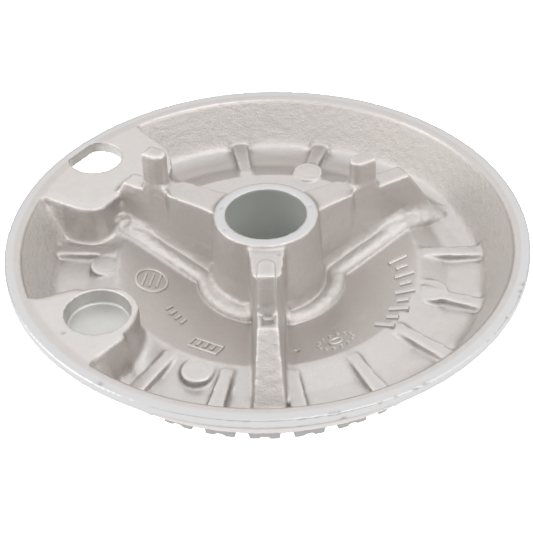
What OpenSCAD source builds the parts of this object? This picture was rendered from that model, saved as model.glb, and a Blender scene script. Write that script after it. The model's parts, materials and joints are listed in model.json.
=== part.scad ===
// Gas burner head, shown underside up: a die-cast bowl with a central gas bore, three ribs
// with locating posts, a castellated flame ring under the bowl, and a lift-off cap.
// Origin: centre of the rim seat. +Z points out of the underside, away from the cap.

/* [Rim and bowl] */
// Outside diameter of the rim
rim_d = 130; // [128:0.5:134]
// Width of the flat seat on the rim
rim_land_w = 4; // [3:0.5:5]
// Height of the upright lip below the seat
rim_lip_h = 2.5; // [2:0.1:3]
// Radius of the foot of the bowl wall
wall_foot_r = 54.2; // [53.5:0.1:54.6]
// Depth of the flat ledge at the foot of the wall
ledge_depth = 12.2; // [11.8:0.1:12.6]
// Inner radius of the flat ledge
ledge_inner_r = 45.9; // [45:0.1:47]
// Radius of the low ridge between ledge and dish
crest_r = 38.2; // [37.5:0.1:39]
// Depth of the ridge below the seat
crest_depth = 9.6; // [9:0.1:10.2]
// Depth of the dish floor beside the boss
dish_depth = 15.1; // [14.5:0.1:15.6]
// Depth of the flat face that carries the flame ring
shelf_depth = 14.4; // [14.2:0.1:14.8]
// General wall thickness of the casting
skin = 2.2; // [2:0.1:2.6]

/* [Central boss] */
// Diameter of the gas bore
bore_d = 20; // [18:0.1:21]
// Outside diameter of the boss at its top
boss_d = 25.8; // [25:0.1:27]
// Height of the boss above the seat
boss_top = 6.5; // [5.5:0.1:7.5]

/* [Ribs and posts] */
// Width of a rib along its top
rib_top_w = 4.6; // [4:0.1:5.2]
// Width of a rib at its foot
rib_foot_w = 8.4; // [7:0.1:9]
// Width of a rib where it runs into the boss
rib_neck_w = 9; // [8:0.1:9.4]
// Height of the rib top above the seat
rib_top = 5.2; // [4.6:0.1:5.4]
// Height of the shoulder outside each post
shoulder_top = 3.7; // [3:0.1:4]
// Width of a locating post
post_w = 4.4; // [4:0.1:4.6]
// Radius where the ribs run out on the ledge
rib_end_r = 51.2; // [50:0.1:52]

/* [Gussets, pads and beads] */
// Width of a gusset where it leaves the ridge
gusset_w = 3; // [2.4:0.1:3.4]
// Width of a gusset at the wall
gusset_wall_w = 4.2; // [3.6:0.1:4.8]
// Depth of the gusset top below the seat at the wall
gusset_depth = 10.7; // [10.2:0.1:11.2]
// Angle between the gussets in the open sectors
gusset_step = 21.8; // [20:0.1:22]
// Diameter of the round screw pads
pad_d = 8; // [7.6:0.1:8.6]
// Radius of the half-round bead at the foot of ribs and boss
bead_r = 1.8; // [1.5:0.1:1.9]

/* [Electrode hole and locating socket] */
// Diameter of the D-shaped electrode hole
d_hole_d = 13.8; // [12:0.1:14]
// Radius at which the electrode hole is centred
d_hole_pitch_r = 57.4; // [57:0.1:57.6]
// Thickness of the plate around the electrode hole
d_plate = 3.2; // [3:0.1:3.8]
// Diameter of the blind locating socket
socket_d = 15.7; // [14:0.1:16]
// Depth of the blind locating socket
socket_depth = 4.2; // [3.5:0.1:5]
// Radius at which the socket is centred
socket_pitch_r = 48.6; // [48.2:0.1:49]

/* [Flame ring] */
// Outside diameter of the flame ring
ring_d = 101; // [100:0.2:102]
// Depth of the tooth tips below the seat
tooth_tip_depth = 20.8; // [20.4:0.1:21.2]
// Number of tooth pairs round the ring
tooth_pairs = 30; // [27:1:33]
// Width of a main flame port
port_w = 3.2; // [2.6:0.1:3.6]
// Depth of a main flame port at its outer end
port_depth = 1.6; // [1.4:0.1:2]
// Width of the shallow slot within a tooth pair
slot_w = 2.2; // [1.6:0.1:2.4]
// Depth of the shallow slot
slot_depth = 0.6; // [0.5:0.1:0.8]

/* [Cap and screws] */
// Diameter of the cap
cap_d = 95.2; // [94.8:0.1:95.4]
// Thickness of the cap wall
cap_wall = 1.6; // [1.4:0.1:1.8]
// Depth of the cap seat below the rim seat
cap_seat_depth = 19.5; // [19.3:0.1:19.7]
// Height of the cap from its seat to its face
cap_h = 3.1; // [2.6:0.1:3.4]
// Nominal diameter of the ring screws
screw_d = 3; // [2.5:0.5:3]
// Diameter of a screw head
screw_head_d = 5; // [4.6:0.1:5.2]

/* [Hidden] */
$fn = 96;

rim_r = rim_d / 2;
rim_inner_r = rim_r - rim_land_w;
bore_r = bore_d / 2;
boss_r = boss_d / 2;
boss_foot_r = boss_r + 1.2;
lip_step = 0.6;
skirt_foot_r = wall_foot_r + 2.7;
shelf_r = skirt_foot_r - 2.3;
bore_end_depth = dish_depth + skin;
eps = 0.02;

// Each rib: angle, post inner and outer radius, post top height, shoulder radius, neck radius.
RIBS = [
    [-90.8, 27.3, 34.0, 14.7, 39.2, 22.8],
    [28.8, 24.7, 31.2, 12.4, 41.0, 24.2],
    [149.0, 28.8, 34.7, 14.7, 41.0, 27.6]
];
front_rib = RIBS[0];
land_rib = RIBS[2];
neck_waist_w = 7.3;
rib_slot_l = 3.3;
rib_slot_w = 2.7;
rib_slot_depth = 1.1;

// Each pad: angle, pitch radius, depth of its top below the seat. A ring screw ends in each.
PADS = [
    [72.8, 40.4, 9.2],
    [176.5, 41.1, 9.8],
    [245.3, 41.6, 9.7],
    [343.5, 41.9, 9.9]
];

gusset_first = 4;
gusset_count = 7;
BACK_GUSSETS = [73, 97, 169];
gusset_inner_r = crest_r - 1;
bead_end_r = bead_r * 1.05;

// Each bead round the boss: first angle, last angle, radius, angle of its free end.
BOSS_BEADS = [
    [-72, -2, boss_foot_r + bead_r + 1.7, -72],
    [-180, -110, boss_foot_r + bead_r + 0.1, -110]
];

// Outline of the electrode land, as distance along and across the rib that carries it.
D_LAND = [
    [34.5, 0], [41.5, 0], [42.4, 9.4], [44.4, 12], [47.5, 13], [70, 13], [70, -31],
    [42.2, -20], [38.7, -16.6], [36.3, -13.2], [34.5, -8]
];
d_hole_angle = 141.4;
d_hole_flat = 0.76 * d_hole_d / 2;
d_recess_from = 126.4;
d_recess_to = 157.6;
d_recess_inner_r = ring_d / 2 - 0.05;
socket_angle = -146.2;
socket_land_half = 13.4;
socket_wall = 1.9;

ring_r = ring_d / 2;
ring_inner_r = 45.5;
rebate_r = 47.9;
flange_inner_r = 37;
flange_t = 1.8;
pair_step = 360 / tooth_pairs;
first_port = -86.5;
port_slope = 11;
screw_hole_r = screw_d / 2 + 0.1;
screw_head_h = 1.7;
screw_l = 5;
drive_w = 0.8;
drive_depth = 0.9;
cap_edge_r = 1.6;

// A pie slice of a turned profile, from angle a to angle b.
module turned_sector(a, b, points) {
    rotate([0, 0, a])
        rotate_extrude(angle = b - a)
            polygon(points);
}

// The turned skin of the bowl, with its rim, ledge, ridge, dish and boss.
module bowl() {
    rotate_extrude()
        polygon([
            [bore_r, boss_top],
            [boss_r, boss_top],
            [boss_foot_r, -dish_depth],
            [crest_r, -crest_depth],
            [ledge_inner_r, -ledge_depth],
            [wall_foot_r, -ledge_depth],
            [rim_inner_r, 0],
            [rim_r, 0],
            [rim_r, -rim_lip_h],
            [rim_r - lip_step, -rim_lip_h],
            [skirt_foot_r, -ledge_depth],
            [shelf_r, -shelf_depth],
            [flange_inner_r - 1, -shelf_depth],
            [flange_inner_r - 1, -crest_depth - skin],
            [boss_foot_r, -bore_end_depth],
            [bore_r, -bore_end_depth]
        ]);
}

// Side view of one rib, from inside the boss wall out to where it meets the ledge.
module rib_side(rib) {
    polygon([
        [bore_r + 1.5, rib_top],
        [rib[1], rib_top],
        [rib[1] + 0.4, rib_top + 0.6],
        [rib[2], rib_top + 0.6],
        [rib[2] + 0.5, shoulder_top],
        [rib[4], shoulder_top],
        [rib_end_r, -ledge_depth - 0.5],
        [rib_end_r - 4, -ledge_depth - 0.5],
        [crest_r, -crest_depth - 0.5],
        [bore_r + 1.5, -dish_depth - 0.5]
    ]);
}

// Cross-section of a rib, wider at the foot so that it leaves the die.
module rib_section() {
    top = rib_top + 1;
    polygon([
        [-rib_top_w / 2, top],
        [rib_top_w / 2, top],
        [rib_foot_w / 2, -dish_depth - 1],
        [-rib_foot_w / 2, -dish_depth - 1]
    ]);
}

module rib_body(rib) {
    intersection() {
        rotate([90, 0, 0])
            linear_extrude(height = rib_foot_w + 1, center = true)
                rib_side(rib);
        rotate([90, 0, 90])
            linear_extrude(height = rim_r)
                rib_section();
    }
}

// The flare that blends a rib into the boss.
module rib_neck(rib) {
    outline = [
        [bore_r + 1.5, rib_neck_w / 2],
        [boss_r, rib_neck_w / 2],
        [boss_r + 3, (rib_neck_w + neck_waist_w) / 4],
        [rib[5] - 1.4, neck_waist_w / 2],
        [rib[5] - 0.4, neck_waist_w / 2 - 0.5],
        [rib[5], rib_top_w / 2 - 0.1],
        [rib[5], 0],
        [bore_r + 1.5, 0]
    ];
    translate([0, 0, -dish_depth - 0.5])
        linear_extrude(height = dish_depth + 0.5 + rib_top) {
            polygon(outline);
            mirror([0, 1])
                polygon(outline);
        }
}

// Locating post: round towards the centre, square outwards.
module post(rib) {
    inner_centre = rib[1] + post_w / 2;
    translate([0, 0, shoulder_top - 1])
        linear_extrude(height = rib[3] - shoulder_top + 1) {
            translate([inner_centre, 0])
                circle(d = post_w);
            translate([inner_centre, -post_w / 2])
                square([rib[2] - inner_centre, post_w]);
        }
}

module ribs() {
    for (rib = RIBS)
        rotate([0, 0, rib[0]]) {
            rib_body(rib);
            rib_neck(rib);
            post(rib);
        }
}

// One low gusset from the ridge to the bowl wall, wider at the wall.
module gusset(angle) {
    wall_r = wall_foot_r + 1.6;
    rotate([0, 0, angle])
        intersection() {
            rotate([90, 0, 0])
                linear_extrude(height = gusset_wall_w + 1, center = true)
                    polygon([
                        [gusset_inner_r, -crest_depth - 0.6],
                        [crest_r + 1.5, -crest_depth + 0.1],
                        [wall_r, -gusset_depth],
                        [wall_r, -ledge_depth - 0.6],
                        [ledge_inner_r, -ledge_depth - 0.6]
                    ]);
            translate([0, 0, -shelf_depth])
                linear_extrude(height = shelf_depth)
                    polygon([
                        [gusset_inner_r, -gusset_w / 2],
                        [wall_r, -gusset_wall_w / 2],
                        [wall_r, gusset_wall_w / 2],
                        [gusset_inner_r, gusset_w / 2]
                    ]);
        }
}

module gussets() {
    for (i = [0 : gusset_count - 1])
        gusset(gusset_first - i * gusset_step);
    for (angle = BACK_GUSSETS)
        gusset(angle);
}

module pads() {
    for (pad = PADS)
        rotate([0, 0, pad[0]])
            translate([pad[1], 0, -shelf_depth + 1])
                cylinder(d = pad_d, h = shelf_depth - 1 - pad[2]);
}

// A straight round-ended bead between two points given as radius, offset and height.
// Its ends are a little fuller than its shank, so that the surfaces cross cleanly.
module bead(from, to) {
    run = to - from;
    length = norm(run);
    translate(from) {
        sphere(r = bead_end_r);
        rotate([0, acos(run[2] / length), atan2(run[1], run[0])])
            cylinder(r = bead_r, h = length);
    }
    translate(to)
        sphere(r = bead_end_r);
}

// Beads round the boss and along the two ribs that frame the front sectors.
module beads() {
    arc_z = -dish_depth + 1.6;
    ridge_z = -crest_depth + 0.4;
    for (arc = BOSS_BEADS)
        turned_sector(arc[0], arc[1], bead_circle(arc[2], arc_z));
    for (arc = BOSS_BEADS)
        rotate([0, 0, arc[3]])
            translate([arc[2], 0, arc_z])
                sphere(r = bead_end_r);
    for (side = [[1, -1], [2, 1]])
        rotate([0, 0, RIBS[side[0]][0]]) {
            foot = [14.5, side[1] * 8.4, arc_z];
            ridge = [crest_r - 0.4, side[1] * 5.3, ridge_z];
            bead(foot, ridge);
            bead(ridge, [rib_end_r - 2, side[1] * 4.2, -ledge_depth + 0.3]);
        }
}

function bead_circle(r, z) =
    [for (i = [0 : 23]) [r + bead_r * cos(i * 15), z + bead_r * sin(i * 15)]];

// Everything that a land may fill, from the level of the seat down to the outside of the bowl.
module land_space() {
    rotate_extrude()
        polygon([
            [0, 0],
            [rim_r - 1, 0],
            [rim_r - 1, -rim_lip_h],
            [skirt_foot_r - 0.6, -ledge_depth],
            [shelf_r - 1, -shelf_depth],
            [ledge_inner_r, -shelf_depth],
            [crest_r, -crest_depth - 1.2],
            [0, -crest_depth - 1.2]
        ]);
}

// Raised land round the electrode hole, level with the seat.
module electrode_land() {
    intersection() {
        land_space();
        rotate([0, 0, land_rib[0]])
            translate([0, 0, -rim_r])
                linear_extrude(height = 2 * rim_r)
                    polygon(D_LAND);
    }
}

// Space left open under the electrode hole, so that the hole runs right through.
module electrode_recess() {
    turned_sector(d_recess_from, d_recess_to, [
        [d_recess_inner_r, -d_plate],
        [rim_r + 1, -d_plate],
        [rim_r + 1, -shelf_depth - 1],
        [d_recess_inner_r, -shelf_depth - 1]
    ]);
}

module electrode_hole() {
    rotate([0, 0, d_hole_angle])
        translate([d_hole_pitch_r, 0, 0])
            intersection() {
                cylinder(d = d_hole_d, h = 2 * shelf_depth, center = true);
                translate([d_hole_flat - d_hole_d, -d_hole_d, -shelf_depth])
                    cube([d_hole_d, 2 * d_hole_d, 2 * shelf_depth]);
            }
}

// Raised land round the blind socket, level with the seat.
module socket_land() {
    intersection() {
        land_space();
        rotate([0, 0, socket_angle])
            union() {
                translate([socket_pitch_r, 0, -rim_r])
                    cylinder(r = socket_d / 2 + socket_wall, h = 2 * rim_r);
                rotate([0, 0, -socket_land_half])
                    rotate_extrude(angle = 2 * socket_land_half)
                        translate([socket_pitch_r, -rim_r])
                            square([rim_r, 2 * rim_r]);
            }
    }
}

module socket_bore() {
    rotate([0, 0, socket_angle])
        translate([socket_pitch_r, 0, -socket_depth])
            cylinder(d = socket_d, h = socket_depth + 1);
}

// One hole under each pad, between two depths below the seat.
module screw_holes(from, to) {
    for (pad = PADS)
        rotate([0, 0, pad[0]])
            translate([pad[1], 0, -from])
                cylinder(r = screw_hole_r, h = from - to, $fn = 32);
}

// Small recess in the shoulder of the front rib.
module shoulder_slot() {
    rotate([0, 0, front_rib[0]])
        translate([front_rib[2] + 0.6, -rib_slot_w / 2, shoulder_top - rib_slot_depth])
            cube([rib_slot_l, rib_slot_w, rib_slot_depth + 1]);
}

module head_casting() {
    color([0.83, 0.80, 0.77])
        difference() {
            union() {
                bowl();
                ribs();
                gussets();
                pads();
                beads();
                electrode_land();
                socket_land();
            }
            translate([0, 0, -bore_end_depth - 1])
                cylinder(r = bore_r, h = boss_top + bore_end_depth + 2);
            socket_bore();
            electrode_hole();
            electrode_recess();
            screw_holes(shelf_depth + 1, shelf_depth + flange_t - screw_l - 0.4);
            shoulder_slot();
        }
}

// A flame port: cut straight out through the ring wall, deeper on the inside.
module port_cut(width, depth, slope) {
    translate([ring_r, -width / 2, -tooth_tip_depth + depth])
        rotate([0, slope, 0])
            translate([-10, 0, -6])
                cube([12, width, 6]);
}

module flame_ring() {
    color([0.70, 0.70, 0.70])
        difference() {
            rotate_extrude()
                polygon([
                    [flange_inner_r, -shelf_depth],
                    [ring_r, -shelf_depth],
                    [ring_r, -tooth_tip_depth],
                    [rebate_r, -tooth_tip_depth],
                    [rebate_r, -cap_seat_depth],
                    [ring_inner_r, -cap_seat_depth],
                    [ring_inner_r, -shelf_depth - flange_t],
                    [flange_inner_r, -shelf_depth - flange_t]
                ]);
            for (i = [0 : tooth_pairs - 1])
                rotate([0, 0, first_port + i * pair_step]) {
                    port_cut(port_w, port_depth, port_slope);
                    rotate([0, 0, pair_step / 2])
                        port_cut(slot_w, slot_depth, 0);
                }
            screw_holes(shelf_depth + flange_t + 1, shelf_depth - 1);
        }
}

// One slotted pan-head screw, head down, under its pad.
module ring_screw() {
    translate([0, 0, -screw_head_h])
        difference() {
            cylinder(d = screw_head_d, h = screw_head_h);
            translate([-screw_head_d, -drive_w / 2, -1])
                cube([2 * screw_head_d, drive_w, 1 + drive_depth]);
        }
    translate([0, 0, -eps])
        cylinder(d = screw_d, h = screw_l + eps);
}

module ring_screws() {
    color([0.75, 0.72, 0.62])
        for (pad = PADS)
            rotate([0, 0, pad[0]])
                translate([pad[1], 0, -shelf_depth - flange_t])
                    ring_screw();
}

// Pressed cap, its face downwards, resting in the rebate of the flame ring.
module burner_cap() {
    cap_r = cap_d / 2;
    face = -cap_seat_depth - cap_h;
    bend = cap_r - cap_edge_r;
    color([0.12, 0.12, 0.13])
        rotate_extrude()
            polygon(concat(
                [[0, face]],
                [for (a = [0 : 10 : 90])
                    [bend + cap_edge_r * sin(a), face + cap_edge_r * (1 - cos(a))]],
                [
                    [cap_r, -cap_seat_depth],
                    [cap_r - cap_wall, -cap_seat_depth],
                    [cap_r - cap_wall, face + cap_wall],
                    [0, face + cap_wall]
                ]
            ));
}

head_casting();
flame_ring();
ring_screws();
burner_cap();
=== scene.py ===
"""Looks of a gas hob burner head, shown underside up: a rough die-cast bowl with a machined rim,
a castellated flame ring with its screws, and an enamelled cap."""

import json
import math

import bmesh
import bpy
import numpy as np
from mathutils import Matrix, Vector, noise


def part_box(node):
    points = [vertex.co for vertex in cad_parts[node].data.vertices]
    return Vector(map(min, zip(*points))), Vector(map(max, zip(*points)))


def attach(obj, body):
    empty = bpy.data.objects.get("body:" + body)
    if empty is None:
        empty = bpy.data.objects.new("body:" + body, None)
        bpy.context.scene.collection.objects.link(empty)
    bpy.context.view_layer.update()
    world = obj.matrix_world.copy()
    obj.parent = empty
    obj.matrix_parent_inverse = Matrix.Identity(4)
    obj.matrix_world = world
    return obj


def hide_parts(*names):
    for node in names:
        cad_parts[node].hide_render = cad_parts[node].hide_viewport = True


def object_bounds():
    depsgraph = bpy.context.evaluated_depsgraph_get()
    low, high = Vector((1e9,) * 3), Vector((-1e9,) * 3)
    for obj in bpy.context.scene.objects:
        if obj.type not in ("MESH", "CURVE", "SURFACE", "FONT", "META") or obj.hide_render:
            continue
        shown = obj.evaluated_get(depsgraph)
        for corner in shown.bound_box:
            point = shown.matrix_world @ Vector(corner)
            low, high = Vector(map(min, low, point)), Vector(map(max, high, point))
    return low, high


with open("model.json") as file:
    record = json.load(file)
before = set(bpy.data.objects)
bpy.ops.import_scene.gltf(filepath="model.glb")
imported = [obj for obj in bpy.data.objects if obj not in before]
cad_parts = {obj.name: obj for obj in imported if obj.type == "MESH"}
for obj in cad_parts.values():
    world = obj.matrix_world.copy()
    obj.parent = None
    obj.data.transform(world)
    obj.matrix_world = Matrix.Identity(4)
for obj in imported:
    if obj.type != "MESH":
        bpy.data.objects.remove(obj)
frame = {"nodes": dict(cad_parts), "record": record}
cad_low, cad_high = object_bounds()
MM = 0.001

# Camera of a product shot: distance and look-at point in millimetres, angles in degrees.
CAMERA_DISTANCE = 363.2
CAMERA_ELEVATION = 39.48
CAMERA_ROLL = -2.135
CAMERA_TARGET = (-0.32, -12.75, 0.0)
FOCAL_LENGTH = 101.3

# Interfaces of the casting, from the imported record, in millimetres.
MOUNTS = {mount["name"]: mount for mount in frame["record"]["mounts"]}
BORE_R = MOUNTS["gas_bore"]["dims"]["r_mm"]
SOCKET_R = MOUNTS["locating_socket"]["dims"]["r_mm"]
SOCKET_DEPTH = MOUNTS["locating_socket"]["dims"]["length_mm"]
SOCKET_AT = np.array(MOUNTS["locating_socket"]["pos_m"][:2]) / MM
HOLE_AT = np.array(MOUNTS["electrode_hole"]["pos_m"][:2]) / MM
HOLE_R = 6.9

# Landmarks of the bowl, in millimetres: radii from the axis and heights above the rim seat.
RIM_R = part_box("head_casting")[1].x / MM
SEAT_INNER_R = RIM_R - 4.0
BAND_INNER_R = RIM_R - 2.3
BOSS_TOP = 6.5
BOSS_R = 12.9
DISH_FOOT = (14.1, -15.1)
CREST = (38.2, -9.6)
RIM_LIP = 2.5
CAP_TRAVEL = 30.0
WALL_FOOT_R = 54.2
RIB_ANGLES = (-90.8, 28.8, 149.0)
LAND_ANGLES = ((120.0, 168.0), (-163.0, -131.0))
GUSSET_ANGLES = [4 - 21.8 * i for i in range(7)] + [73, 97, 169]
PADS = ((40.4, 72.8), (41.1, 176.5), (41.6, -114.7), (41.9, -16.5))
PAD_R = 4.0
BEAD_ARCS = ((17.6, -72, -2), (16.0, -180, -110))
BEAD_PATH = ((14.5, 8.4), (37.8, 5.3), (49.2, 4.2))
BEAD_RIBS = ((RIB_ANGLES[1], -1), (RIB_ANGLES[2], 1))


# ---------------------------------------------------------------- arrays of points

def smoothstep(value, low, high):
    """0 below low, 1 above high, smooth between; low may be the larger one."""
    t = np.clip((value - low) / (high - low), 0.0, 1.0)
    return t * t * (3 - 2 * t)


def grain(points, size, shift):
    """Smooth noise from about -1 to 1 at each point, with lumps of about the given size."""
    scaled = points / size + shift
    return np.array([noise.noise(p) for p in scaled.tolist()])


class Surface:
    """The points and edges of a mesh as arrays in millimetres, for shaping that follows formulas."""

    def __init__(self, obj):
        self.mesh = obj.data
        count = len(self.mesh.vertices)
        flat = np.empty(3 * count)
        self.mesh.vertices.foreach_get("co", flat)
        self.points = flat.reshape(-1, 3) / MM
        edges = np.empty(2 * len(self.mesh.edges), dtype=np.int64)
        self.mesh.edges.foreach_get("vertices", edges)
        self.edges = edges.reshape(-1, 2)

    def write(self):
        self.mesh.vertices.foreach_set("co", (self.points * MM).ravel())
        self.mesh.update()

    def normals(self):
        self.write()
        flat = np.empty(self.points.size)
        self.mesh.vertices.foreach_get("normal", flat)
        return flat.reshape(-1, 3)

    def polar(self):
        """Radius and angle in degrees of every point."""
        x, y = self.points[:, 0], self.points[:, 1]
        return np.hypot(x, y), np.degrees(np.arctan2(y, x))

    def flow(self, steps, fill, shave):
        """Moves points towards the mean of their neighbours: fill where hollow, shave where proud."""
        active = np.flatnonzero((fill > 0.01) | (shave > 0.01))
        is_active = np.zeros(len(self.points), dtype=bool)
        is_active[active] = True
        near = self.edges[is_active[self.edges].any(axis=1)]
        ends = np.concatenate([near, near[:, ::-1]])
        ends = ends[is_active[ends[:, 0]]]
        count = len(self.points)
        valence = np.maximum(np.bincount(ends[:, 0], minlength=count), 1)
        for step in range(steps):
            if step % 5 == 0:
                normal = self.normals()[active]
            mean = np.empty((len(active), 3))
            for axis in range(3):
                total = np.bincount(ends[:, 0], self.points[ends[:, 1], axis], count)
                mean[:, axis] = (total / valence)[active]
            drift = mean - self.points[active]
            rise = np.einsum("ij,ij->i", drift, normal)
            gain = np.where(rise > 0, fill[active], shave[active])
            across = drift - rise[:, None] * normal
            reach = np.maximum(fill, shave)[active]
            self.points[active] += 0.8 * (gain * rise)[:, None] * normal + 0.4 * reach[:, None] * across
        self.write()

    def neighbour_mean(self, values):
        """The mean of a value over each point's neighbours."""
        ends = np.concatenate([self.edges, self.edges[:, ::-1]])
        count = len(self.points)
        valence = np.maximum(np.bincount(ends[:, 0], minlength=count), 1)
        return np.bincount(ends[:, 0], values[ends[:, 1]], count) / valence

    def creases(self):
        """Two fields from 0 to 1: how hollow and how proud the surface is at each point; the materials paint the first
        as shade and the second as edge wear with highlight.
        """
        normal = self.normals()
        mean = np.stack([self.neighbour_mean(self.points[:, axis]) for axis in range(3)], axis=1)
        rise = np.einsum("ij,ij->i", mean - self.points, normal)
        hollow, proud = smoothstep(rise, 0.005, 0.03), smoothstep(-rise, 0.012, 0.05)
        for _ in range(2):
            hollow, proud = self.neighbour_mean(hollow), self.neighbour_mean(proud)
        return hollow, proud

    def attribute(self, name, values):
        """Stores one number per point, for the materials."""
        layer = self.mesh.attributes.new(name, "FLOAT", "POINT")
        layer.data.foreach_set("value", values.astype(np.float32))


# ---------------------------------------------------------------- mesh objects

def add_object(name, mesh):
    obj = bpy.data.objects.new(name, mesh)
    bpy.context.scene.collection.objects.link(obj)
    return obj


def smooth(obj):
    obj.data.polygons.foreach_set("use_smooth", [True] * len(obj.data.polygons))
    obj.data.update()


def add_modifier(obj, kind, **settings):
    modifier = obj.modifiers.new(kind.lower(), kind)
    for key, value in settings.items():
        setattr(modifier, key, value)
    return modifier


def remeshed_copy(node, name, voxel):
    """A voxel-remeshed copy of a CAD node's mesh, in place; voxel in millimetres."""
    obj = add_object(name, frame["nodes"][node].data.copy())
    obj.data.materials.clear()
    welder = bmesh.new()
    welder.from_mesh(obj.data)
    bmesh.ops.remove_doubles(welder, verts=welder.verts, dist=1e-6)
    welder.to_mesh(obj.data)
    welder.free()
    add_modifier(obj, "REMESH", mode="VOXEL", voxel_size=voxel * MM)
    bpy.context.view_layer.objects.active = obj
    bpy.ops.object.modifier_apply(modifier="remesh")
    smooth(obj)
    return obj


def turned(name, outline, segments):
    """A closed body of revolution from an outline of (radius, height) in millimetres."""
    builder = bmesh.new()
    rings = []
    for radius, height in outline:
        if radius < 1e-6:
            rings.append([builder.verts.new((0, 0, height * MM))])
            continue
        turn = [2 * math.pi * i / segments for i in range(segments)]
        rings.append([
            builder.verts.new((radius * math.cos(a) * MM, radius * math.sin(a) * MM, height * MM))
            for a in turn
        ])
    for low, high in zip(rings, rings[1:]):
        for i in range(segments):
            j = (i + 1) % segments
            corners = [low[i % len(low)], low[j % len(low)], high[j % len(high)], high[i % len(high)]]
            builder.faces.new(list(dict.fromkeys(corners)))
    bmesh.ops.recalc_face_normals(builder, faces=builder.faces)
    mesh = bpy.data.meshes.new(name)
    builder.to_mesh(mesh)
    builder.free()
    obj = add_object(name, mesh)
    smooth(obj)
    return obj


# ---------------------------------------------------------------- node materials

class Shader:
    """A short way to write a node material: every call adds a node and returns its output."""

    def __init__(self, name):
        self.material = bpy.data.materials.new(name)
        self.material.use_nodes = True
        self.tree = self.material.node_tree
        self.surface = self.tree.nodes["Principled BSDF"]

    def feed(self, socket, value):
        if isinstance(value, bpy.types.NodeSocket):
            self.tree.links.new(value, socket)
        elif isinstance(value, tuple) and len(value) == 3 and socket.type == "RGBA":
            socket.default_value = (*value, 1)
        else:
            socket.default_value = value

    def node(self, kind, inputs=None, **settings):
        node = self.tree.nodes.new(kind)
        for key, value in settings.items():
            setattr(node, key, value)
        for key, value in (inputs or {}).items():
            self.feed(node.inputs[key], value)
        return node

    def place(self):
        return self.node("ShaderNodeTexCoord").outputs["Object"]

    def mask(self, name):
        return self.node("ShaderNodeAttribute", attribute_name=name).outputs["Fac"]

    def math(self, operation, first, second=0.0):
        return self.node("ShaderNodeMath", {0: first, 1: second}, operation=operation).outputs[0]

    def noise(self, size, detail=2.0, rough=0.5):
        """Noise with features of about the given size in millimetres."""
        inputs = {"Vector": self.place(), "Scale": 1 / (size * MM), "Detail": detail, "Roughness": rough}
        return self.node("ShaderNodeTexNoise", inputs).outputs["Fac"]

    def span(self, value, low, high, to_low, to_high):
        inputs = {"Value": value, "From Min": low, "From Max": high, "To Min": to_low, "To Max": to_high}
        return self.node("ShaderNodeMapRange", inputs).outputs["Result"]

    def mix(self, factor, first, second):
        if isinstance(first, tuple) or isinstance(second, tuple):
            node = self.node("ShaderNodeMix", data_type="RGBA")
            slots = (0, 6, 7, 2)
        else:
            node = self.node("ShaderNodeMix", data_type="FLOAT")
            slots = (0, 2, 3, 0)
        self.feed(node.inputs[slots[0]], factor)
        self.feed(node.inputs[slots[1]], first)
        self.feed(node.inputs[slots[2]], second)
        return node.outputs[slots[3]]

    def tint(self, factor, first, second):
        """Mixes two colours, either of which may come from another node."""
        node = self.node("ShaderNodeMix", data_type="RGBA")
        self.feed(node.inputs[0], factor)
        self.feed(node.inputs[6], first)
        self.feed(node.inputs[7], second)
        return node.outputs[2]

    def bump(self, height, distance, strength=1.0, under=None):
        inputs = {"Height": height, "Distance": distance * MM, "Strength": strength}
        if under is not None:
            inputs["Normal"] = under
        return self.node("ShaderNodeBump", inputs).outputs["Normal"]

    def height(self):
        """Height above the rim seat in millimetres."""
        axes = self.node("ShaderNodeSeparateXYZ", {0: self.place()})
        return self.math("DIVIDE", axes.outputs[2], MM)

    def turning_marks(self, pitch):
        """Fine concentric grooves about the Z axis."""
        axes = self.node("ShaderNodeSeparateXYZ", {0: self.place()})
        square = [self.math("MULTIPLY", axes.outputs[i], axes.outputs[i]) for i in (0, 1)]
        radius = self.math("SQRT", self.math("ADD", square[0], square[1]))
        wobble = self.math("MULTIPLY", self.noise(1.2), 0.25 * pitch * MM)
        phase = self.math("MULTIPLY", self.math("ADD", radius, wobble), 2 * math.pi / (pitch * MM))
        return self.math("SINE", phase)

    def finish(self, **inputs):
        for key, value in inputs.items():
            self.feed(self.surface.inputs[key.replace("_", " ")], value)
        return self.material


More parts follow.
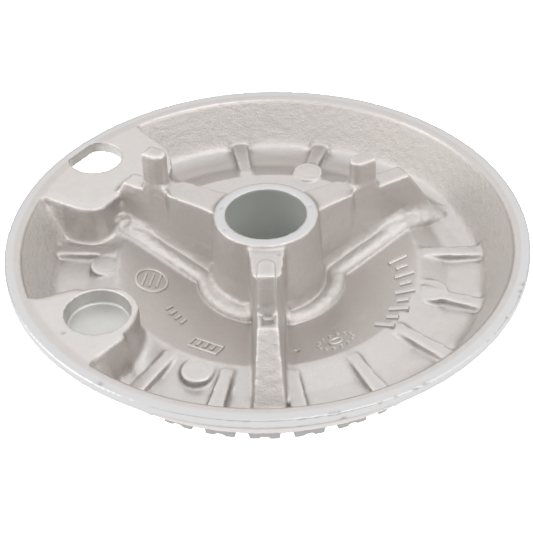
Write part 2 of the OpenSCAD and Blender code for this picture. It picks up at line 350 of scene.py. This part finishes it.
def cast_aluminium(name, colour, bright):
    """Tumbled die-cast aluminium, with machined and bored areas where the masks say so, painted shade in creases and
    recesses, and edge wear with painted highlight on edges and tops.
    """
    s = Shader(name)
    rough, machined, bored = s.mask("rough"), s.mask("machined"), s.mask("bored")
    patches = s.span(s.noise(14, 3), 0.35, 0.65, 0.0, 1.0)
    warm = tuple(channel * shade for channel, shade in zip(colour, (1.0, 0.972, 0.975)))
    cool = tuple(channel * shade for channel, shade in zip(colour, (0.975, 0.99, 0.985)))
    body = s.tint(patches, warm, cool)
    speckle = s.span(s.noise(0.45, 4, 0.7), 0.3, 0.7, 0.0, 1.0)
    dark = tuple(channel * 0.86 for channel in colour)
    body = s.tint(s.math("MULTIPLY", s.math("SUBTRACT", 1.0, speckle), 0.75), body, dark)
    # Painted shade: the colour is darkened in creases, recesses, dents, under the rim lip and on the steep sides of
    # gussets, pads and marks, and the machined tone is taken away there.
    body = s.tint(s.math("MULTIPLY", s.mask("hollow"), 0.6), body, tuple(channel * 0.5 for channel in colour))
    # Edge wear and painted highlight: where the proud mask is high, the colour is lightened, on worn edges and on tops
    # lit from above.
    body = s.tint(s.math("MULTIPLY", s.mask("proud"), 0.5), body, (0.93, 0.90, 0.88))
    # Painted light: rough cast areas are painted lighter for the extra light their rough skin picks up from above.
    body = s.tint(s.math("MULTIPLY", rough, 0.4), body, (0.80, 0.77, 0.745))
    body = s.tint(s.math("MULTIPLY", machined, s.math("SUBTRACT", 1.0, s.mask("hollow"))), body, bright)
    # Painted light: the bore walls are painted darker at the mouth and lighter deeper down, standing in for how light
    # falls into the bore.
    depth = s.span(s.height(), BOSS_TOP, -9.0, 0.0, 1.0)
    body = s.tint(bored, body, s.tint(depth, (0.50, 0.515, 0.49), (0.90, 0.92, 0.88)))
    roughness = s.mix(rough, s.span(s.noise(2.5, 3), 0.3, 0.7, 0.30, 0.42), 0.65)
    roughness = s.mix(machined, roughness, 0.34)
    roughness = s.mix(bored, roughness, 0.45)
    pebble = s.math("MULTIPLY", s.noise(0.5, 3, 0.6), s.math("ADD", s.math("MULTIPLY", rough, 0.85), 0.15))
    normal = s.bump(pebble, 0.22, 0.8)
    normal = s.bump(s.math("MULTIPLY", s.turning_marks(0.28), machined), 0.006, 0.6, normal)
    metal = s.mix(bored, 1.0, 0.55)
    return s.finish(Base_Color=body, Roughness=roughness, Metallic=metal, Normal=normal)


def zinc_steel():
    s = Shader("zinc_steel")
    body = s.tint(s.noise(0.8, 3), (0.60, 0.57, 0.47), (0.72, 0.71, 0.66))
    normal = s.bump(s.noise(0.12, 2), 0.01, 0.5)
    rough = s.span(s.noise(0.5, 2), 0.3, 0.7, 0.28, 0.42)
    return s.finish(Base_Color=body, Roughness=rough, Metallic=1.0, Normal=normal)


def black_enamel():
    """Satin vitreous enamel: near black, faintly speckled, with a slow orange-peel surface."""
    s = Shader("black_enamel")
    specks = s.span(s.noise(0.22, 2, 0.6), 0.66, 0.72, 0.0, 1.0)
    body = s.tint(specks, (0.012, 0.012, 0.014), (0.10, 0.10, 0.105))
    normal = s.bump(s.noise(2.2, 2), 0.04, 0.3)
    ground_coat = s.math("GREATER_THAN", s.height(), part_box("burner_cap")[0].z / MM + 1.2)
    rough = s.mix(ground_coat, s.span(s.noise(3.0, 2), 0.3, 0.7, 0.24, 0.36), 0.75)
    coat = s.mix(ground_coat, 0.3, 0.0)
    return s.finish(Base_Color=body, Roughness=rough, Normal=normal, Coat_Weight=coat, Specular_IOR_Level=0.35)


# ---------------------------------------------------------------- the casting

def distance_to(points, centre):
    return np.hypot(points[:, 0] - centre[0], points[:, 1] - centre[1])


def land_mask(radius, angle):
    """1 inside the sectors of the two raised lands, 0 elsewhere."""
    inside = np.zeros(len(radius))
    for first, last in LAND_ANGLES:
        inside = np.maximum(inside, (angle > first) & (angle < last) & (radius > 33))
    return inside


def dish_height(radius):
    """Height of the dish floor at each radius, in millimetres."""
    slope = (CREST[1] - DISH_FOOT[1]) / (CREST[0] - DISH_FOOT[0])
    return DISH_FOOT[1] + slope * (radius - DISH_FOOT[0])


def bead_distance(points, radius, angle):
    """Signed distance on the plan to the nearest bead's middle; negative towards the boss or rib."""
    nearest = np.full(len(points), np.inf)
    for arc_r, first, last in BEAD_ARCS:
        beyond = np.radians(np.maximum(first - angle, 0) + np.maximum(angle - last, 0)) * radius
        away = np.hypot(radius - arc_r, beyond) * np.where(radius < arc_r, -1, 1)
        nearest = np.where(np.abs(away) < np.abs(nearest), away, nearest)
    for rib_angle, side in BEAD_RIBS:
        turn = math.radians(rib_angle)
        along = points[:, 0] * math.cos(turn) + points[:, 1] * math.sin(turn)
        across = side * (points[:, 1] * math.cos(turn) - points[:, 0] * math.sin(turn))
        for (x, y), (end_x, end_y) in zip(BEAD_PATH, BEAD_PATH[1:]):
            run_x, run_y = end_x - x, end_y - y
            part = ((along - x) * run_x + (across - y) * run_y) / (run_x ** 2 + run_y ** 2)
            part = np.clip(part, 0, 1)
            off_x, off_y = along - x - part * run_x, across - y - part * run_y
            inner = (off_y < 0) | (radius < BEAD_PATH[0][0] + 2)
            away = np.hypot(off_x, off_y) * np.where(inner, -1, 1)
            nearest = np.where(np.abs(away) < np.abs(nearest), away, nearest)
    return nearest


def pad_distance(points):
    """Distance on the plan from each point to the middle of the nearest pad."""
    turns = [math.radians(angle) for radius, angle in PADS]
    centres = [(pad[0] * math.cos(turn), pad[0] * math.sin(turn)) for pad, turn in zip(PADS, turns)]
    return np.min([distance_to(points, centre) for centre in centres], axis=0)


def soften_casting(surface):
    """Gives the casting the fillets and rounded arrises of a die casting, and returns the masks of painted shade and
    of edge wear with painted highlight.
    """
    points = surface.points
    radius, angle = surface.polar()
    height = points[:, 2]
    top_side = smoothstep(height, -13.9, -13.3) * (radius < SEAT_INNER_R + 0.5)
    holes = np.minimum.reduce([
        np.abs(radius - BORE_R),
        np.abs(distance_to(points, SOCKET_AT) - SOCKET_R),
        np.abs(distance_to(points, HOLE_AT) - HOLE_R),
    ])
    clear_of_holes = smoothstep(holes, 0.5, 1.3)
    lands = land_mask(radius, angle)
    none = np.zeros(len(points))
    in_slot = (np.abs(radius - 36.3) < 2.6) & (np.abs(angle - RIB_ANGLES[0]) < 2.9) & (height > 1.5)
    outside_slot = 1.0 - in_slot
    surface.flow(3, outside_slot, 0.6 * outside_slot)
    pads = pad_distance(points)
    general = top_side * clear_of_holes * smoothstep(pads, PAD_R + 0.8, PAD_R + 1.5) * outside_slot
    surface.flow(4, general, 0.3 * general)
    hollow, proud = surface.creases()
    # Painted shade: the steep sides of the gussets and pads are marked dark.
    steep = smoothstep(surface.normals()[:, 2], 0.9, 0.6)
    low = (height > -13.0) * smoothstep(height, -8.5, -9.5)
    gusset_gap = np.min([np.abs(angle - at) for at in GUSSET_ANGLES], axis=0)
    gusset_side = smoothstep(np.radians(gusset_gap) * radius, 3.4, 2.8) * (radius > 37) * (radius < 55.5)
    pad_side = smoothstep(np.abs(pads - PAD_R), 0.9, 0.5)
    hollow = np.maximum(hollow, np.maximum(0.8 * gusset_side, pad_side) * steep * low)
    land_edge = lands * smoothstep(height, -4.0, -2.5) * (height < 0.6) * clear_of_holes
    land_edge *= smoothstep(radius, SEAT_INNER_R - 0.5, SEAT_INNER_R - 3) * smoothstep(radius, 40, 41.5)
    land_edge *= np.where(angle > 0, smoothstep(angle, 152, 156), 1.0)
    surface.flow(28, none, land_edge)
    wall_foot = smoothstep(np.abs(radius - WALL_FOOT_R), 5.0, 2.0) * smoothstep(height, -6, -9) * top_side
    wall_foot *= smoothstep(gusset_gap, 3.0, 4.5)
    land_foot = lands * smoothstep(height, -2.0, -4.0) * top_side * smoothstep(radius, 38, 41)
    deep = np.maximum(0.9 * wall_foot, land_foot) * clear_of_holes
    beads = bead_distance(points, radius, angle)
    above_dish = height - dish_height(radius)
    beside_bead = smoothstep(beads, -5.4, -4.6) * smoothstep(beads, 0.6, 0.0) * smoothstep(above_dish, 2.9, 2.2)
    beside_bead *= smoothstep(radius, 40, 38)
    surface.flow(110, np.maximum(deep, beside_bead), none)
    on_bead = smoothstep(beads, -5.2, -4.4) * smoothstep(beads, 2.0, 1.2) * smoothstep(above_dish, 4.2, 3.4)
    on_bead *= smoothstep(radius, BOSS_R, BOSS_R + 1) * (height < CREST[1] + 4) * top_side
    surface.flow(30, on_bead, on_bead)
    fade = 1 - np.clip(2 * np.maximum.reduce([0.9 * deep, beside_bead, on_bead]), 0, 1)
    # Painted shade: a dark band on the skirt just under the rim lip.
    under_lip_shade = smoothstep(np.abs(height + RIM_LIP + 1.1), 1.6, 0.8) * (radius > RIM_R - 3.5) * (height < -RIM_LIP)
    hollow = np.maximum(hollow * fade, under_lip_shade)
    proud *= 1 - on_bead
    # Painted highlight: the tops of the lands are lightened.
    plateau = 0.3 * lands * (surface.points[:, 2] > -0.5) * smoothstep(radius, SEAT_INNER_R, SEAT_INNER_R - 1)
    proud *= (1 - land_edge) * smoothstep(radius, SEAT_INNER_R - 1.5, SEAT_INNER_R - 3)
    return hollow, np.maximum(proud, plateau)


def dent(surface, normal, radius, angle, height, size, depth):
    """Presses a small hollow into the surface and returns how far each point took part."""
    spot = np.array([
        radius * math.cos(math.radians(angle)),
        radius * math.sin(math.radians(angle)),
        height
    ])
    near = np.linalg.norm(surface.points - spot, axis=1) / size
    share = np.exp(-near * near)
    surface.points -= normal * (depth * share)[:, None]
    return share


def roughen_casting(surface, hollow, proud):
    """Adds the cast skin, the lumps of flash and the knocks on the rim, and stores the masks, among them the painted
    shade and the edge wear with painted highlight.
    """
    normal = surface.normals()
    points = surface.points
    radius, angle = surface.polar()
    height = points[:, 2]
    inside = smoothstep(radius, SEAT_INNER_R + 0.1, SEAT_INNER_R - 0.5) * (height > -13.8)
    wall = inside * smoothstep(radius, 53.5, 55.5) * smoothstep(height, -0.4, -1.0)
    wall *= smoothstep(normal[:, 2], 0.9, 0.7)
    socket = distance_to(points, SOCKET_AT)
    hole = distance_to(points, HOLE_AT)
    bored = np.maximum.reduce([
        smoothstep(radius, BORE_R + 0.35, BORE_R + 0.15) * (height < BOSS_TOP - 0.3),
        0.4 * smoothstep(socket, SOCKET_R + 0.35, SOCKET_R + 0.15) * (height < -0.3) * (height > -SOCKET_DEPTH - 0.5),
        0.4 * smoothstep(hole, HOLE_R + 0.35, HOLE_R + 0.15) * (height < -0.3) * (height > -3.4),
    ])
    flat = smoothstep(normal[:, 2], 0.9, 0.97)
    band = smoothstep(radius, BAND_INNER_R - 0.2, BAND_INNER_R + 0.2) * (height > -0.4) * flat
    ring = smoothstep(radius, BOSS_R + 0.1, BOSS_R - 0.2) * (height > BOSS_TOP - 0.5) * flat
    outside = smoothstep(radius, RIM_R - 0.9, RIM_R - 0.5) * (height < 0.1)
    skirt = (radius > RIM_R - 10) * (normal[:, 2] < 0.1) * smoothstep(height, -4.5, -6) * (height > -13.8)
    machined = np.maximum.reduce([band, ring, outside])
    plain = inside * (1 - bored) * (1 - machined)
    beads = bead_distance(points, radius, angle)
    bead = smoothstep(beads, -2.6, -1.8) * smoothstep(beads, 2.0, 1.3) * smoothstep(height, -5.0, -6.5) * plain
    around_bead = smoothstep(beads, -5.0, -4.0) * smoothstep(beads, 2.4, 1.8)
    around_bead *= smoothstep(height, -5.0, -6.5) * plain
    rough = np.maximum.reduce([wall, 0.75 * around_bead, 0.45 * plain * smoothstep(normal[:, 2], 0.97, 0.8)])
    pads = pad_distance(points)
    # Painted shade: the faint ring groove on each pad top is darkened a little.
    pad_ring = smoothstep(np.abs(pads - 0.74 * PAD_R), 0.45, 0.15) * (normal[:, 2] > 0.9)
    # Painted highlight: the bead, the downward-facing skirt and the pad tops are lightened.
    proud = np.maximum.reduce([proud, 0.25 * bead, 0.8 * skirt, 0.15 * (pads < PAD_R) * (height > -10.8)])
    # Painted shade: the locating socket is darkened inside, most at its foot.
    in_socket = (socket < SOCKET_R + 0.1) * (height < -0.5)
    socket_foot = smoothstep(height, -SOCKET_DEPTH + 1.1, -SOCKET_DEPTH + 0.5) * (socket > SOCKET_R - 0.7)
    hollow = np.maximum.reduce([hollow, 0.1 * pad_ring, in_socket * (0.8 + 0.2 * socket_foot)])
    skin = 0.05 * grain(points, 0.8, 11.0) + 0.03 * grain(points, 2.2, 31.0)
    lumps = np.zeros(len(points))
    for lump_r, lump_angle, reach in ((40.5, 156.0, 3.6), (36.5, 158.0, 2.6), (44.0, 153.5, 2.4)):
        x = lump_r * math.cos(math.radians(lump_angle))
        y = lump_r * math.sin(math.radians(lump_angle))
        lumps += smoothstep(distance_to(points, (x, y)), reach, 0.3 * reach) * (height < -5)
    lumps = np.clip(lumps, 0, 1) * plain * (0.28 + 0.4 * grain(points, 1.5, 71.0))
    ridge = np.maximum(0.18 * bead, 0.07 * plain * smoothstep(normal[:, 2], 0.97, 0.8))
    ridge = ridge * grain(points, 1.6, 51.0) - 0.05 * pad_ring
    surface.points = points + normal * (np.maximum(wall, 0.35 * plain) * skin + lumps + ridge)[:, None]
    # Painted shade: each knock is pressed in and its dent is painted darker.
    for knock in KNOCKS:
        hollow = np.maximum(hollow, dent(surface, normal, *knock))
    surface.write()
    surface.attribute("hollow", hollow)
    surface.attribute("proud", proud)
    surface.attribute("rough", rough)
    surface.attribute("machined", machined)
    surface.attribute("bored", bored)


# Knocks and pits: radius, angle, height, size and depth in millimetres and degrees.
KNOCKS = (
    (58.6, -144.8, 0.0, 0.45, 0.35),
    (64.0, -126.7, 0.0, 0.7, 0.25),
    (64.5, -79.1, 0.0, 0.4, 0.2),
    (64.5, -78.5, 0.0, 0.4, 0.2),
    (64.5, -77.9, 0.0, 0.4, 0.2),
    (64.5, -77.3, 0.0, 0.4, 0.2),
    (65.0, -76.5, -2.4, 0.7, 0.5),
    (65.0, -69.0, -0.3, 0.6, 0.3),
    (64.8, -58.6, 0.0, 0.8, 0.3),
    (64.9, -61.0, -0.2, 0.7, 0.3),
    (64.8, -65.6, 0.0, 0.5, 0.2),
    (65.0, -31.9, -0.2, 0.7, 0.3),
    (64.8, -22.8, 0.0, 0.8, 0.3),
    (64.9, -20.4, -0.2, 0.9, 0.3),
    (64.9, -24.6, -0.3, 0.6, 0.25),
    (14.9, -79.0, 5.2, 0.35, 0.25),
    (11.3, 165.0, 6.5, 0.3, 0.3),
    (11.9, -150.0, 6.5, 0.35, 0.3),
    (11.4, 12.0, 6.5, 0.3, 0.25),
    (31.9, -78.9, -11.0, 0.45, 0.35),
    (28.4, 38.0, -11.8, 0.5, 0.3),
    (36.2, 131.0, -9.9, 1.0, 0.9),
)


def build_head():
    obj = remeshed_copy("head_casting", "head_surface", 0.4)
    surface = Surface(obj)
    hollow, proud = soften_casting(surface)
    roughen_casting(surface, hollow, proud)
    obj.data.materials.append(cast_aluminium("cast_aluminium_tumbled", (0.585, 0.556, 0.534), (0.59, 0.585, 0.585)))
    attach(obj, "head")
    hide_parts("head_casting")
    return obj


def build_flame_ring():
    obj = remeshed_copy("flame_ring", "flame_ring_surface", 0.3)
    surface = Surface(obj)
    ones = np.ones(len(surface.points))
    surface.flow(3, ones, 0.8 * ones)
    normal = surface.normals()
    surface.points += normal * (0.03 * grain(surface.points, 1.3, 5.0))[:, None]
    surface.write()
    for name, value in (("rough", 0.5), ("machined", 0.0), ("bored", 0.0), ("hollow", 0.0), ("proud", 0.0)):
        surface.attribute(name, ones * value)
    # Painted shade: the ring is the head's aluminium with a darker base colour, standing in for the shade under the
    # skirt's overhang.
    obj.data.materials.append(cast_aluminium("cast_aluminium_shaded_copy", (0.36, 0.357, 0.357), (0.7, 0.7, 0.7)))
    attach(obj, "head")
    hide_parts("flame_ring")
    return obj


def build_cap():
    """The pressed cap: a faintly crowned face, a rolled edge and a thin skirt."""
    low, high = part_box("burner_cap")
    cap_r, face, seat = high.x / MM, low.z / MM, high.z / MM
    wall, edge, crown = 1.6, 1.6, 0.25
    flat_r = cap_r - edge
    outline = [(0, face)]
    for i in range(1, 13):
        r = flat_r * i / 12
        outline.append((r, face + crown * (i / 12) ** 3))
    drop = edge - crown
    for i in range(1, 9):
        turn = math.radians(90 * i / 8)
        outline.append((flat_r + edge * math.sin(turn), face + crown + drop * (1 - math.cos(turn))))
    outline.append((cap_r, seat - 0.3))
    outline.append((cap_r - 0.1, seat - 0.08))
    outline.append((cap_r - 0.35, seat))
    outline.append((cap_r - wall + 0.35, seat))
    outline.append((cap_r - wall + 0.1, seat - 0.08))
    outline.append((cap_r - wall, seat - 0.3))
    inner = face + wall
    outline.append((cap_r - wall, inner + 0.5))
    outline.append((cap_r - wall - 0.15, inner + 0.15))
    outline.append((cap_r - wall - 0.5, inner))
    outline.append((0, inner))
    obj = turned("cap_shell", outline, 192)
    obj.data.materials.append(black_enamel())
    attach(obj, "cap")
    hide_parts("burner_cap")
    return obj


def dress_screws():
    """The CAD screws keep their shape and get softened edges and a zinc finish."""
    obj = frame["nodes"]["ring_screws"]
    obj.data.materials.clear()
    obj.data.materials.append(zinc_steel())
    add_modifier(obj, "BEVEL", width=0.15 * MM, segments=2, limit_method="ANGLE", angle_limit=math.radians(40))


# ---------------------------------------------------------------- cast marks on the dish floor

CLOCK_STUDS = 14
TALLY_BARS = 9


def dish_point(radius, angle):
    """A point on the sloping dish floor, in metres."""
    turn = math.radians(angle)
    return Vector((radius * math.cos(turn), radius * math.sin(turn), dish_height(radius))) * MM


def dish_frame(radius, angle, twist):
    """Axes on the dish floor: X outwards and Y along the circle, both turned by twist, Z out of it."""
    turn = math.radians(angle)
    slope = (CREST[1] - DISH_FOOT[1]) / (CREST[0] - DISH_FOOT[0])
    out = Vector((math.cos(turn), math.sin(turn), slope)).normalized()
    along = Vector((-math.sin(turn), math.cos(turn), 0))
    up = out.cross(along)
    axes = Matrix((out, along, up)).transposed().to_4x4()
    return Matrix.Translation(dish_point(radius, angle)) @ axes @ Matrix.Rotation(math.radians(twist), 4, "Z")


def rod(builder, place, path, width, closed):
    """Adds a raised rib that follows a path of flat points, in millimetres, with steep sides painted dark as shade."""
    tone = builder.verts.layers.float["hollow"]
    # The third number of each corner is its painted shade: dark on the steep sides, none on top.
    section = ((1, -0.6, 1.0), (0.95, 0.5, 0.6), (0.6, 0.9, 0.0), (-0.6, 0.9, 0.0), (-0.95, 0.5, 0.6), (-1, -0.6, 1.0))
    sides = len(section)
    count = len(path)
    rings = []
    for i, (x, y) in enumerate(path):
        before = path[i - 1] if closed or i > 0 else path[i]
        after = path[(i + 1) % count] if closed or i < count - 1 else path[i]
        heading = Vector((after[0] - before[0], after[1] - before[1], 0)).normalized()
        side = Vector((-heading.y, heading.x, 0))
        ring = []
        for across, up, shade in section:
            offset = side * across * width / 2 + Vector((0, 0, up)) * width / 2
            vertex = builder.verts.new(place @ ((Vector((x, y, 0)) + offset) * MM))
            vertex[tone] = shade
            ring.append(vertex)
        rings.append(ring)
    pairs = list(zip(rings, rings[1:]))
    if closed:
        pairs.append((rings[-1], rings[0]))
    for first, second in pairs:
        for k in range(sides):
            j = (k + 1) % sides
            builder.faces.new((first[k], first[j], second[j], second[k]))
    if not closed:
        builder.faces.new(rings[0][::-1])
        builder.faces.new(rings[-1])


def oval(width, height, points=28):
    steps = [2 * math.pi * i / points for i in range(points)]
    return [(width / 2 * math.cos(a), height / 2 * math.sin(a)) for a in steps]


def box_path(width, height):
    """Corners and edge middles of a rectangle."""
    x, y = width / 2, height / 2
    return [(x, 0), (x, y), (0, y), (-x, y), (-x, 0), (-x, -y), (0, -y), (x, -y)]


def stud(builder, place, size):
    """A low round stud whose side is painted dark as shade."""
    tone = builder.verts.layers.float["hollow"]
    made = bmesh.ops.create_cone(
        builder, cap_ends=True, segments=14, radius1=size / 2 * MM, radius2=size / 3 * MM,
        depth=size / 2 * MM, matrix=place
    )
    inverse = place.inverted()
    for vertex in made["verts"]:
        vertex[tone] = 1.0 if (inverse @ vertex.co).z < 0 else 0.0


def build_marks():
    """Plain raised marks where a casting carries its foundry data; none of them is a letter."""
    builder = bmesh.new()
    builder.verts.layers.float.new("hollow")
    emblem = dish_frame(29.6, -175, 0)
    rod(builder, emblem, oval(8.0, 8.8), 0.9, True)
    for x in (-1.9, 0.0, 1.9):
        rod(builder, emblem, [(x - 0.8, -2.6), (x + 0.8, 2.6)], 0.8, False)
    box = dish_frame(32.6, -118.4, 0)
    rod(builder, box, box_path(3.8, 7.6), 0.8, True)
    for y in (-1.9, 0.0, 1.9):
        rod(builder, box, [(-1.1, y), (1.1, y)], 0.8, False)
    for i in range(4):
        rod(builder, dish_frame(28.0, -139 - 4.4 * i, 20), [(-1.2, 0), (1.2, 0)], 0.8, False)
    clock = dish_frame(32.5, -61.4, 0)
    for i in range(CLOCK_STUDS):
        turn = 2 * math.pi * i / CLOCK_STUDS
        spot = Matrix.Translation(Vector((2.8 * math.cos(turn), 4.6 * math.sin(turn), 0)) * MM)
        stud(builder, clock @ spot, 1.3)
    rod(builder, clock, oval(2.2, 3.2, 16), 0.8, True)
    for i in range(TALLY_BARS):
        t = i / (TALLY_BARS - 1)
        reach = 1.5 if i % 2 else 2.5
        place = dish_frame(33.0 + 4.0 * math.sin(t * math.pi / 2), 1.8 - 43.6 * t, 18)
        rod(builder, place, [(-reach, 0), (reach, 0)], 1.3, False)
    bmesh.ops.recalc_face_normals(builder, faces=builder.faces)
    mesh = bpy.data.meshes.new("cast_marks")
    builder.to_mesh(mesh)
    builder.free()
    obj = add_object("cast_marks", mesh)
    surface = Surface(obj)
    ones = np.ones(len(surface.points))
    # Painted highlight: the marks are lightened all over.
    for name, value in (("rough", 0.3), ("machined", 0.0), ("bored", 0.0), ("proud", 0.4)):
        surface.attribute(name, ones * value)
    obj.data.materials.append(bpy.data.materials["cast_aluminium_tumbled"])
    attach(obj, "head")
    return obj


# ---------------------------------------------------------------- camera, light and floor

def build_camera():
    elevation = math.radians(CAMERA_ELEVATION)
    back = Vector((0, -math.cos(elevation), math.sin(elevation)))
    right = Vector((1, 0, 0))
    up = back.cross(right)
    roll = math.radians(CAMERA_ROLL)
    right_rolled = math.cos(roll) * right + math.sin(roll) * up
    up_rolled = -math.sin(roll) * right + math.cos(roll) * up
    axes = Matrix((right_rolled, up_rolled, back)).transposed().to_4x4()
    place = (Vector(CAMERA_TARGET) + back * CAMERA_DISTANCE) * MM
    data = bpy.data.cameras.new("camera")
    data.lens = FOCAL_LENGTH
    data.sensor_width = 36
    data.clip_start = 0.01
    camera = bpy.data.objects.new("camera", data)
    camera.matrix_world = Matrix.Translation(place) @ axes
    bpy.context.scene.collection.objects.link(camera)
    bpy.context.scene.camera = camera


def build_floor():
    """A plain white floor, low enough for the lifted cap, that can't be seen from below."""
    mesh = bpy.data.meshes.new("floor")
    half = 3.0
    z = cad_low.z - CAP_TRAVEL * MM - 0.002
    corners = [(-half, -half, z), (half, -half, z), (half, half, z), (-half, half, z)]
    mesh.from_pydata(corners, [], [(0, 1, 2, 3)])
    floor = add_object("floor", mesh)
    s = Shader("white_floor")
    seen = s.node("ShaderNodeLightPath").outputs["Is Camera Ray"]
    front = s.math("SUBTRACT", 1.0, s.node("ShaderNodeNewGeometry").outputs["Backfacing"])
    glow = s.mix(seen, 0.2, 1.0)
    s.finish(
        Base_Color=(0.8, 0.8, 0.8), Roughness=0.8, Alpha=front,
        Emission_Color=(1.0, 1.0, 1.0), Emission_Strength=glow
    )
    floor.data.materials.append(s.material)


def build_sky():
    """A white backdrop, and light that is brightest high up and dimmer towards the horizon."""
    world = bpy.data.worlds.new("studio")
    bpy.context.scene.world = world
    world.use_nodes = True
    tree = world.node_tree
    place = tree.nodes.new("ShaderNodeTexCoord")
    split = tree.nodes.new("ShaderNodeSeparateXYZ")
    ramp = tree.nodes.new("ShaderNodeValToRGB")
    tree.links.new(place.outputs["Generated"], split.inputs[0])
    tree.links.new(split.outputs["Z"], ramp.inputs[0])
    seen = tree.nodes.new("ShaderNodeLightPath").outputs["Is Camera Ray"]
    backdrop = tree.nodes.new("ShaderNodeMix")
    backdrop.data_type = "RGBA"
    backdrop.inputs[7].default_value = (1, 1, 1, 1)
    tree.links.new(seen, backdrop.inputs[0])
    tree.links.new(ramp.outputs[0], backdrop.inputs[6])
    tree.links.new(backdrop.outputs[2], tree.nodes["Background"].inputs["Color"])
    stops = ramp.color_ramp.elements
    stops[0].position = 0.0
    stops[0].color = (0.30, 0.275, 0.25, 1)
    stops[1].position = 1.0
    stops[1].color = (0.80, 0.82, 0.85, 1)
    horizon = stops.new(0.30)
    horizon.color = (0.54, 0.52, 0.505, 1)
    softbox = stops.new(0.62)
    softbox.color = (1.0, 1.0, 1.0, 1)
    tree.nodes["Background"].inputs["Strength"].default_value = 1.35


def build_softbox(name, place, size, watts):
    """A square softbox at a place in metres, turned to the burner."""
    light = bpy.data.lights.new(name, "AREA")
    light.energy = watts
    light.size = size
    obj = bpy.data.objects.new(name, light)
    obj.location = place
    obj.rotation_euler = (-obj.location).to_track_quat("-Z", "Y").to_euler()
    bpy.context.scene.collection.objects.link(obj)


build_head()
build_marks()
build_flame_ring()
build_cap()
dress_screws()
build_floor()
build_sky()
build_softbox("key", (0.25, -0.30, 0.75), 0.5, 0.9)
build_softbox("left_card", (-0.72, -0.10, 0.20), 0.6, 1.9)
build_softbox("right_card", (0.66, -0.32, 0.20), 0.6, 0.9)
build_camera()
bpy.context.scene.view_settings.view_transform = "Standard"
